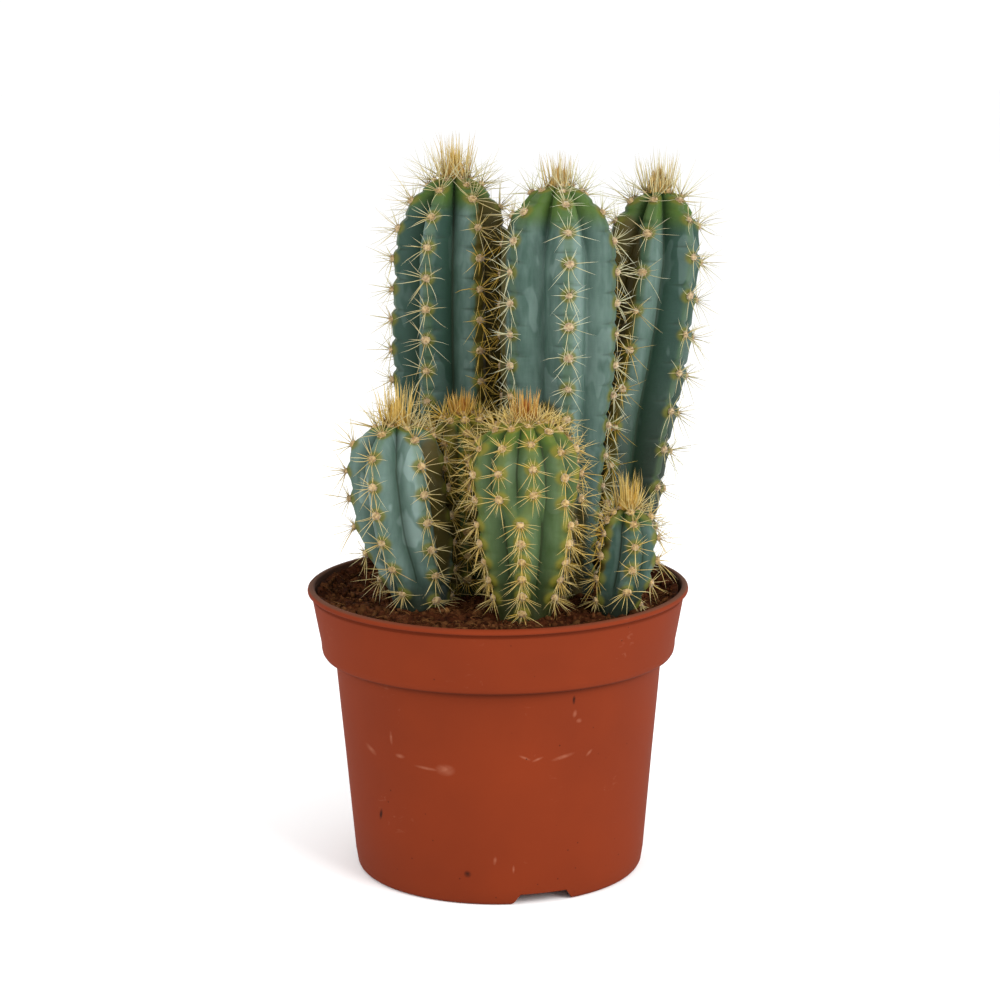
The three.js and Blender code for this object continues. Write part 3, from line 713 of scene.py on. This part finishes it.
def gap_to(stem, points):
    """How far points are outside the round envelope of a stem's crests."""
    shoulder, _, _, shoulder_radius = stem['stations'][-1]
    height = points[..., 2] - stem['base']
    line = stem['outline']
    x, y, radius = (np.interp(height, line['height'], line[key]) for key in ('x', 'y', 'radius'))
    beside = np.hypot(points[..., 0] - x, points[..., 1] - y) - radius
    tip_x, tip_y = stem['tip']
    across = np.hypot(points[..., 0] - tip_x, points[..., 1] - tip_y) / shoulder_radius
    over = np.hypot(across, (height - shoulder) / stem['dome']) - 1
    return np.where(height < shoulder, beside, over * min(shoulder_radius, stem['dome']))


for stem in STEMS.values():
    x, y = stem['stations'][0][1:3]
    stem['base'] = float(soil_level(x, y))
    stem['outline'] = outline_of(stem)
    stem['areoles'] = place_areoles(stem)

for name, stem in STEMS.items():
    ribs = stem['storeys'][-1]['ribs']
    columns = COLUMNS_STOREYS if len(stem['storeys']) > 1 else ribs * COLUMNS_EACH
    first = math.radians(stem['storeys'][-1]['first'] + 180 / ribs)
    angle = first + np.arange(columns) * 2 * math.pi / columns
    line = stem['outline']
    tip = line['reach'][-1]
    reach = np.append(np.arange(line['reach'][0], tip - 1.4, ROW_STEP), tip - 1.0)
    reach, angle = np.meshgrid(reach, angle, indexing='ij')
    height = read(stem, 'height', reach)
    inset, across = rib_shape(stem, height, angle)
    radius = read(stem, 'radius', reach)
    # Each areole sits on a low swelling of the crest, under a crease across the rib.
    halo = np.zeros_like(reach)
    fold = np.zeros_like(reach)
    lift = np.zeros_like(reach)
    for areole_reach, areole_angle in stem['areoles']:
        up = reach - areole_reach
        side = radius * ((angle - areole_angle + math.pi) % (2 * math.pi) - math.pi)
        near = np.exp(-(up / SWELL_LONG) ** 2 - (side / SWELL_WIDE) ** 2)
        above = np.exp(-((up - PINCH_UP - 0.1 * np.abs(side)) / PINCH_THICK) ** 2
                       - (side / PINCH_WIDE) ** 2)
        crease = np.exp(-((up - CREASE_UP + 0.06 * side) / CREASE_THICK) ** 2
                        - (side / CREASE_WIDE) ** 4)
        halo = np.maximum(halo, near)
        fold = np.maximum(fold, crease)
        sunk = stem['creased'] * (PINCH * above + CREASE * crease)
        lift = lift + np.where(radius > 8, SWELL * near - sunk, 0)
    wave = sum(high * np.sin(reach / long + 2 * angle * turns + stem['seed'])
               for high, long, turns in WAVES)
    steady = smoothstep(radius, 3, 9) * smoothstep(height, 0, 10)
    radius_share = inset - (lift + wave * steady) / np.maximum(radius, 4)
    points = skin_point(stem, reach, angle, radius_share)
    # Painted shade: the skin is painted darker and browner, and its wax thinner, where another
    # stem stands close before it. At the back, where it looks out between the others, this painted
    # shade is weaker.
    out = np.stack([np.sin(angle), -np.cos(angle), 0 * angle], axis=-1)
    shelter = np.zeros_like(reach)
    for other in STEMS.values():
        for ahead in LOOK_AHEAD if other is not stem else ():
            gap = gap_to(other, points + ahead * out)
            shelter = np.maximum(shelter, smoothstep(gap, OPEN, SHELTERED))
    shelter = shelter * (1 - 0.7 * smoothstep(-np.cos(angle), -0.1, 0.7))
    rows, columns = reach.shape
    rooted = smoothstep(height, -ROOT_NECK, RIBS_FULL)
    growth = smoothstep(reach, tip - 8 - stem['young'], tip - 4 - 0.5 * stem['young'])
    # Painted shade: the skin low down, up to a height set for each stem, is painted darker and its
    # wax thinner.
    aged = 1 - smoothstep(height, 0, stem['aged'])
    # Painted light: the wax is painted thicker on one flank of each rib than on the other, so that
    # one flank is paler, as if lit from that side.
    thick, uneven = stem['wax']
    bloom = thick - uneven * across / np.sqrt(across ** 2 + 0.06)
    middle, wide, extra = stem['stripe']
    aside = (np.degrees(angle) - middle + 180) % 360 - 180
    bloom = bloom + extra * np.exp(-(aside / wide) ** 4)
    bloom = bloom * (1 - 0.7 * aged) * (1 - 0.8 * growth) * (1 - 0.6 * shelter)
    crest = np.exp(-(across * math.pi / ribs * radius / 2.6) ** 2) * rooted
    faces = []
    for i in range(rows - 1):
        for j in range(columns):
            a, b = i * columns + j, i * columns + (j + 1) % columns
            faces.append([a, b, b + columns, a + columns])
    end = rows * columns
    top = (rows - 1) * columns
    faces += [[top + j, top + (j + 1) % columns, end] for j in range(columns)]
    faces.append(list(range(columns))[::-1])
    axis = np.array([[line['x'][-1], line['y'][-1], stem['base'] + line['height'][-1]]])
    # The grooves and the creases over the areoles are marked for painted shade.
    stem['skin'] = lay_mesh(
        name + '_skin', np.concatenate([points.reshape(-1, 3), axis]), faces,
        valley=np.append(np.abs(across) * stem['groove'] * rooted, 0),
        growth=np.append(growth, 1), halo=np.append(halo, 0),
        fold=np.append(fold * stem['creased'], 0), crest=np.append(crest, 0),
        aged=np.append(aged, 0), bloom=np.append(bloom, 0), shelter=np.append(shelter, 0),
        film=np.full(end + 1, stem['film']))

# Living skin under a bloom of wax: blue-green and softly shining where the wax is thick, darker
# and greener where it is thin, and fresh green where it still grows. Painted shade darkens the
# grooves, the creases, the skin low down and the skin that faces another stem; painted light makes
# one flank of each rib paler, and pale islands are painted highlights.
SKINS = {
    'cactus_skin_blue': dict(
        slot='skin_blue', body='#2a4037', bloom='#5b6f67', pale='#798c86', groove='#16200e',
        dell='#1e3324', fresh='#41571c', crest='#45593a', ring='#5a5a20', shade='#483b0a',
        old='#1b1c10',
        stems=['stem_tall_left', 'stem_tall_middle', 'stem_tall_right', 'stem_front_left',
               'stem_front_right']),
    'cactus_skin_green': dict(
        slot='skin_green', body='#384a26', bloom='#566849', pale='#66785c', groove='#1a2208',
        dell='#24381c', fresh='#465818', crest='#565f26', ring='#6a6420', shade='#483b0a',
        old='#211e08',
        stems=['stem_front_globe', 'stem_back_small']),
}
# What lies over the wax, in turn: its mark on the skin, where it begins and is full, how strong
# it is, and its colour. Folds and grooves are darkened with painted shade, and so is the skin low
# down; young skin is green, a green line runs up each crest, painted shade darkens and browns the
# skin that faces another stem, and each areole has a brown rim.
SKIN_LAYERS = [
    ('fold', 0.25, 0.9, 0.4, 'groove'), ('aged', 0.1, 1.0, 0.8, 'old'),
    ('growth', 0.0, 1.0, 0.85, 'fresh'), ('crest', 0.2, 0.8, 0.4, 'crest'),
    ('valley', 0.4, 0.95, 0.55, 'dell'), ('valley', 0.88, 1.0, 0.85, 'groove'),
    ('shelter', 0.1, 1.0, 0.85, 'shade'), ('halo', 0.16, 0.5, 0.85, 'ring'),
]
for name, skin in SKINS.items():
    material, shader = new_material(name)
    place = add_node(material, 'TexCoord').outputs['Object']
    # The wax lies in upright streaks 3 mm wide and 12 mm long, and in patches 25 mm across.
    tall = add_node(material, 'Mapping', {'Vector': place, 'Scale': (1, 1, 0.25)})
    streak = add_node(material, 'TexNoise', {'Vector': tall, 'Scale': 330.0, 'Detail': 3.0})
    patch = add_node(material, 'TexNoise', {'Vector': place, 'Scale': 40.0, 'Detail': 4.0})
    wax = add_node(material, 'Mix', {0: 0.55, 2: streak, 3: patch}, data_type='FLOAT')
    uneven = add_node(material, 'MapRange', {'Value': wax, 'From Min': 0.35, 'From Max': 0.65,
                                             'To Min': -0.3, 'To Max': 0.3})
    bloom = add_node(material, 'Attribute', attribute_name='bloom').outputs['Fac']
    waxed = add_node(material, 'Math', {0: bloom, 1: uneven}, operation='ADD', use_clamp=True)
    # Painted highlight: pale islands with a sharp edge, 8 mm wide and 20 high, that stand in for
    # glossy highlights on the wax.
    island = add_node(material, 'Mapping', {'Vector': place, 'Scale': (1, 1, 0.4)})
    touched = add_node(material, 'TexNoise', {'Vector': island, 'Scale': 75.0, 'Detail': 2.0})
    edge = add_node(material, 'MapRange', {'Value': touched, 'From Min': 0.56, 'From Max': 0.59,
                                           'To Max': 0.6}, interpolation_type='SMOOTHSTEP')
    film = add_node(material, 'Attribute', attribute_name='film').outputs['Fac']
    filmed = add_node(material, 'Math', {0: edge, 1: film}, operation='MULTIPLY')
    layers = [(waxed, 'bloom'), (filmed, 'pale')]
    for mark, begins, full, strength, tint in SKIN_LAYERS:
        value = add_node(material, 'Attribute', attribute_name=mark).outputs['Fac']
        share = add_node(material, 'MapRange', {
            'Value': value, 'From Min': begins, 'From Max': full, 'To Max': strength,
        }, interpolation_type='SMOOTHSTEP')
        layers.append((share, tint))
    colour = linear(skin['body'])
    for share, tint in layers:
        colour = add_node(material, 'Mix', {SHARE: share, UNDER: colour, OVER: linear(skin[tint])},
                          data_type='RGBA').outputs[MIXED]
    # Fine creases run round the stem, 1.5 mm apart, where the skin folds as the plant breathes.
    wide = add_node(material, 'Mapping', {'Vector': place, 'Scale': (0.25, 0.25, 1)})
    crease = add_node(material, 'TexNoise', {'Vector': wide, 'Scale': 650.0, 'Detail': 3.0})
    bump = add_node(material, 'Bump', {'Strength': 0.3, 'Distance': 0.5 * MM, 'Height': crease})
    gloss = add_node(material, 'MapRange', {'Value': wax, 'To Min': 0.42, 'To Max': 0.62})
    wire(shader, {'Base Color': colour, 'Normal': bump, 'Roughness': gloss, 'IOR': 1.42,
                  'Specular IOR Level': 0.16, 'Subsurface Weight': 0.12,
                  'Subsurface Radius': (0.4, 1.0, 0.5), 'Subsurface Scale': 1.2 * MM})
    for stem_name in skin['stems']:
        piece = STEMS[stem_name]['skin']
        piece.data.materials.append(material)
        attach(piece, 'root')
        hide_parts(stem_name)


# ---------- Areoles ----------
# The felted pads along the crests that spines grow from: cushions of short matted hair, peach
# when young and tan when old, packed close and golden where the growing tip is.

# Half width, half length and height of a pad.
PAD = (2.0, 1.7, 1.2)
# Loose hairs stand out round each pad, so many and so thick, so far from its middle.
HAIRS = 9
HAIR_WIDTH = 0.32
HAIR_RING = 1.1
HAIR_LENGTH = (1.4, 2.6)
HAIR_LEAN = (0.5, 1.3)
bpy.ops.mesh.primitive_uv_sphere_add(segments=8, ring_count=6, radius=1)
pad_points, pad_faces = shape_of(bpy.context.object)
pad_size = len(pad_points)

for name, stem in STEMS.items():
    rng = np.random.default_rng(stem['seed'])
    reach, angle = stem['areoles'].T
    count = len(reach)
    shoulder = stem['stations'][-1][0]
    near_tip = np.clip((read(stem, 'height', reach) - shoulder) / stem['dome'], 0, 1)
    slope = np.arctan2(read(stem, 'radius', reach - 1) - read(stem, 'radius', reach + 1),
                       read(stem, 'height', reach + 1) - read(stem, 'height', reach - 1))
    side = np.stack([np.cos(angle), np.sin(angle), 0 * angle], axis=1)
    out = np.stack([np.sin(angle), -np.cos(angle), 0 * angle], axis=1)
    normal = out * np.cos(slope)[:, None] + np.array([0, 0, 1]) * np.sin(slope)[:, None]
    up = np.cross(normal, side)
    centre = skin_point(stem, reach, angle, -SWELL / np.maximum(read(stem, 'radius', reach), 6))
    stem['growing'] = dict(centre=centre, normal=normal, side=side, up=up, near_tip=near_tip,
                           height=read(stem, 'height', reach))
    size = rng.uniform(0.85, 1.15, count) * np.where(near_tip > 0.9, 0.8, 1.0)
    points = []
    for k in range(count):
        rough = pad_points * rng.uniform(0.85, 1.15, (pad_size, 1)) * size[k] * PAD
        flat = rough[:, :1] * side[k] + rough[:, 1:2] * up[k]
        points.append(centre[k] + flat + rough[:, 2:] * normal[k])
    owner = np.repeat(np.arange(count), HAIRS)
    turn = rng.uniform(0, 2 * math.pi, len(owner))
    spread = (np.cos(turn)[:, None] * side[owner] + np.sin(turn)[:, None] * up[owner])
    root = centre[owner] + HAIR_RING * spread
    lean = rng.uniform(*HAIR_LEAN, len(owner))[:, None]
    hair = rng.uniform(*HAIR_LENGTH, len(owner))[:, None]
    end = root + hair * (normal[owner] * np.cos(lean) + spread * np.sin(lean))
    bow = rng.normal(0, 0.25, (len(owner), 3))
    width = np.full(len(owner), HAIR_WIDTH)
    more, more_faces, _, hair_count = strands(root, end, bow, width, 3, 2)
    faces = repeated(pad_faces, pad_size, count)
    faces += [[i + count * pad_size for i in face] for face in more_faces]
    warm = stem['gold'] * 0.9 + 0.3 * near_tip ** 3 + rng.uniform(-0.15, 0.15, count)
    warm = np.concatenate([np.repeat(warm, pad_size), np.repeat(warm[owner], hair_count)])
    stem['wool'] = lay_mesh(name + '_areoles', np.concatenate(points + [more]), faces,
                            warm=np.clip(warm, 0, 1))

# Wool felt: matted, dull, and lit through at its edges. Its tufts are 1.5 mm across.
felt, shader = new_material('areole_wool')
place = add_node(felt, 'TexCoord').outputs['Object']
tuft = add_node(felt, 'TexNoise', {'Vector': place, 'Scale': 700.0, 'Detail': 3.0})
pale = add_node(felt, 'ValToRGB', {'Fac': tuft}, [(0.35, '#7f6649'), (0.6, '#aa9572')])
golden = add_node(felt, 'ValToRGB', {'Fac': tuft}, [(0.35, '#7c5c2a'), (0.6, '#ae8f52')])
warm = add_node(felt, 'Attribute', attribute_name='warm').outputs['Fac']
mixed = add_node(felt, 'Mix', {SHARE: warm, UNDER: pale, OVER: golden}, data_type='RGBA')
bump = add_node(felt, 'Bump', {'Strength': 0.8, 'Distance': 0.5 * MM, 'Height': tuft})
wire(shader, {'Base Color': mixed.outputs[MIXED], 'Normal': bump, 'Roughness': 0.95,
              'Sheen Weight': 0.4, 'Sheen Roughness': 0.5})
for stem in STEMS.values():
    piece = stem['wool']
    piece.data.materials.append(felt)
    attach(piece, 'root')


# ---------- Spines ----------
# Stiff, hard needles in a star on each areole, with a few longer ones in its middle. Young ones
# at the tip stand up close together as a golden tuft; old ones are straw coloured to white.

SPINE_WIDTH = 0.36
# How many on an areole, how they lean off its axis in degrees, and their shares of full length.
RADIALS, RADIAL_LEAN, RADIAL_LENGTH = 11, (50, 82), (0.45, 0.95)
CENTRALS, CENTRAL_LEAN, CENTRAL_LENGTH = 3, (8, 40), (0.6, 1.0)
SHORTEST = 2.2
# The tuft is a flame of young spines that lean together, in a plume of paler ones that lean out.
# Each has so many, out to a reach in cores of the flame, that lean out by a share of their place,
# with the longest and shortest as shares of the tuft's height, so thick and so golden.
TUFT = [
    ('flame', 300, 1.15, -0.22, 0.76, 0.35, 2.0, 1.0),
    ('plume', 64, 1.5, 0.55, 1.1, 0.55, 1.4, 0.5),
]

for name, stem in STEMS.items():
    rng = np.random.default_rng(stem['seed'] + 100)
    growing = stem['growing']
    line = stem['outline']
    tip = np.array([line['x'][-1], line['y'][-1], stem['base'] + line['height'][-1] - 0.8])
    # The areoles under the tuft are hidden in it and bear none of their own.
    clear = np.hypot(*(growing['centre'] - tip)[:, :2].T) > 1.2 * stem['core']
    centre, normal, side, up, near_tip, height = (growing[key][clear] for key in (
        'centre', 'normal', 'side', 'up', 'near_tip', 'height'))
    count = len(centre)
    each = RADIALS + CENTRALS
    every = count * each
    owner = np.repeat(np.arange(count), each)
    kind = np.tile(np.arange(each), count)
    radial = kind < RADIALS
    turn = np.where(radial, kind * 2 * math.pi / RADIALS, kind * 2 * math.pi / CENTRALS)
    turn = turn + rng.normal(0, 0.22, every) + np.repeat(rng.uniform(0, 6, count), each)
    tip_share = near_tip[owner]
    # Low on the stem most of them hang: the turn is drawn towards straight down.
    low = 1 - smoothstep(height[owner], stem['droop'] - 12, stem['droop'] + 12)
    down = (turn + math.pi / 2 + math.pi) % (2 * math.pi) - math.pi
    turn = down * (1 - 0.45 * low) - math.pi / 2
    lean = np.where(radial, rng.uniform(*RADIAL_LEAN, every), rng.uniform(*CENTRAL_LEAN, every))
    lean = np.radians(lean * (1 - 0.25 * tip_share ** 2))
    length = stem['spine'] * np.where(radial, rng.uniform(*RADIAL_LENGTH, every),
                                      rng.uniform(*CENTRAL_LENGTH, every))
    # Those that point up are the shortest, except at the growing tip, where all are long.
    length = length * (1 - 0.28 * np.sin(turn) * radial * (1 - tip_share))
    length = length * (1 + stem['flare'] * tip_share ** 2)
    spread = np.cos(turn)[:, None] * side[owner] + np.sin(turn)[:, None] * up[owner]
    way = normal[owner] * np.cos(lean)[:, None] + spread * np.sin(lean)[:, None]
    root = centre[owner] + 0.5 * spread
    # Those between two stems are painted more golden and darker: partly their own unbleached
    # colour, partly painted shade.
    hidden = np.zeros(count)
    for other in STEMS.values():
        if other is not stem:
            hidden = np.maximum(hidden, smoothstep(gap_to(other, centre + 8 * normal), 12, 3))
    gold = stem['gold'] + 0.95 * hidden[owner] * (1 - stem['gold'])
    # Those that would run into the soil or another stem have grown shorter.
    for attempt in range(6):
        end = root + way * length[:, None]
        blocked = end[:, 2] < soil_level(end[:, 0], end[:, 1]) + 0.5
        for other in STEMS.values():
            for share in (0.5, 0.75, 1.0) if other is not stem else ():
                blocked |= gap_to(other, root + way * (share * length)[:, None]) < 0.3
        length = np.where(blocked, length * 0.75, length)
    root, way, gold, length = (values[length > SHORTEST] for values in (root, way, gold, length))
    none = np.zeros(len(root))
    parts = [(root, way, length, gold, none, none, none + SPINE_WIDTH)]

    crown_gold, crown_rust = stem['crown']
    for part, number, reach, out_share, most, least, thick, shine in TUFT:
        flame = part == 'flame'
        turn = rng.uniform(0, 2 * math.pi, number)
        share = np.sqrt(rng.random(number))
        off = stem['core'] * reach * share
        flat_way = np.stack([np.cos(turn), np.sin(turn), 0 * turn], axis=1)
        tall = stem['tuft'] * (most - (most - least) * rng.random(number) ** 1.3)
        # The flame is lower at its edge, and rustiest in its middle.
        tall = tall * (1 - 0.65 * share ** 1.5 * flame)
        rusty = smoothstep(share, 1.4, 0.7) if flame else np.full(number, 0.5)
        start = tip + flat_way * off[:, None] - [[0, 0, 1]] * (off ** 2 / 45)[:, None]
        aside = off * out_share + rng.normal(0, 0.06, number) * tall
        end = start + flat_way * aside[:, None] + [[0, 0, 1]] * tall[:, None]
        long = np.linalg.norm(end - start, axis=1)
        golden = stem['gold'] + (crown_gold - stem['gold']) * shine
        same = np.ones(number)
        parts.append((start, (end - start) / long[:, None], long, golden * same,
                      crown_rust * rusty, flame * same, SPINE_WIDTH * thick * same))
    root, way, length, gold, rust, downy, width = map(np.concatenate, zip(*parts))
    gold, rust = (np.clip(values + rng.normal(0, 0.1, len(root)), 0, 1) for values in (gold, rust))
    bow = rng.normal(0, 0.03, (len(root), 3)) * length[:, None]
    width = width * rng.uniform(0.75, 1.15, len(root))
    points, faces, share, points_each = strands(root, root + way * length[:, None], bow, width,
                                                4, 3)
    stem['spines'] = lay_mesh(
        name + '_spines', points, faces, share=share, gold=np.repeat(gold, points_each),
        rust=np.repeat(rust, points_each), downy=np.repeat(downy, points_each))

# Horn-like tissue: hard and slightly glossy, honey coloured at the root and bleached at the tip.
# The youngest, packed together on the tip, are softer and rusty in the middle, and painted
# brighter: partly their own colour, partly painted light that shines through the flame.
horn, shader = new_material('spine_horn')
share, gold, downy, rust = (add_node(horn, 'Attribute', attribute_name=mark).outputs['Fac']
                            for mark in ('share', 'gold', 'downy', 'rust'))
straw = add_node(horn, 'ValToRGB', {'Fac': share},
                 [(0.0, '#8c8250'), (0.25, '#b0ae88'), (1.0, '#b4b8a4')])
honey = add_node(horn, 'ValToRGB', {'Fac': share},
                 [(0.0, '#9a7420'), (0.4, '#ba9632'), (1.0, '#b89c42')])
# The flame is painted brighter: partly its own colour, partly painted light.
young = add_node(horn, 'Math', {0: downy, 1: 0.55}, operation='MULTIPLY')
colour = straw
for share, over in ((gold, honey), (young, linear('#cda552')), (rust, linear('#8f4e0a'))):
    colour = add_node(horn, 'Mix', {SHARE: share, UNDER: colour, OVER: over},
                      data_type='RGBA').outputs[MIXED]
wire(shader, {'Base Color': colour, 'Roughness': 0.5, 'IOR': 1.54, 'Specular IOR Level': 0.2})
for stem in STEMS.values():
    piece = stem['spines']
    piece.data.materials.append(horn)
    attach(piece, 'root')


# ---------- Floor, light and camera ----------
# A wide white floor under a pale sky, a large soft lamp at the front right and a weaker one at
# the left, and a camera a good metre away that looks slightly down.

bpy.ops.object.select_all(action='DESELECT')
bpy.ops.mesh.primitive_circle_add(vertices=96, radius=9, fill_type='NGON')
floor = bpy.context.object
floor.name = 'floor'
paper, shader = new_material('white_paper')
wire(shader, {'Base Color': (0.97, 0.97, 0.97, 1), 'Roughness': 0.9, 'Specular IOR Level': 0.1})
floor.data.materials.append(paper)

sky = bpy.data.worlds.new('pale_sky')
sky.use_nodes = True
wire(sky.node_tree.nodes['Background'], {'Color': (1, 1, 1, 1), 'Strength': 1.05})
scene.world = sky
scene.view_settings.view_transform = 'Standard'

# Name, place in metres, size and power.
LAMPS = [
    ('right', (1.0, -1.0, 0.9), 0.9, 25),
    ('left', (-1.15, -0.85, 0.8), 0.9, 10),
]
LIT = Vector((0, 0, 0.18))
for name, place, size, power in LAMPS:
    light = bpy.data.lights.new(name, 'AREA')
    light.size = size
    light.energy = power
    lamp = bpy.data.objects.new(name, light)
    lamp.location = place
    lamp.rotation_euler = (LIT - Vector(place)).to_track_quat('-Z', 'Y').to_euler()
    scene.collection.objects.link(lamp)

# The view was found by fitting the pot's ellipses and sides in the photograph.
LENS = 94.57
SENSOR = 36
VIEW_PLACE = (0, -1.146, 0.391)
VIEW_DOWN = 11.09
VIEW_TURN = -0.058
VIEW_ROLL = -0.34
view = bpy.data.cameras.new('view')
view.lens = LENS
view.sensor_width = SENSOR
view.clip_end = 50
camera = bpy.data.objects.new('view', view)
camera.matrix_world = (
    Matrix.Translation(VIEW_PLACE)
    @ Matrix.Rotation(math.radians(VIEW_TURN), 4, 'Z')
    @ Matrix.Rotation(math.radians(90 - VIEW_DOWN), 4, 'X')
    @ Matrix.Rotation(math.radians(VIEW_ROLL), 4, 'Z'))
scene.collection.objects.link(camera)
scene.camera = camera
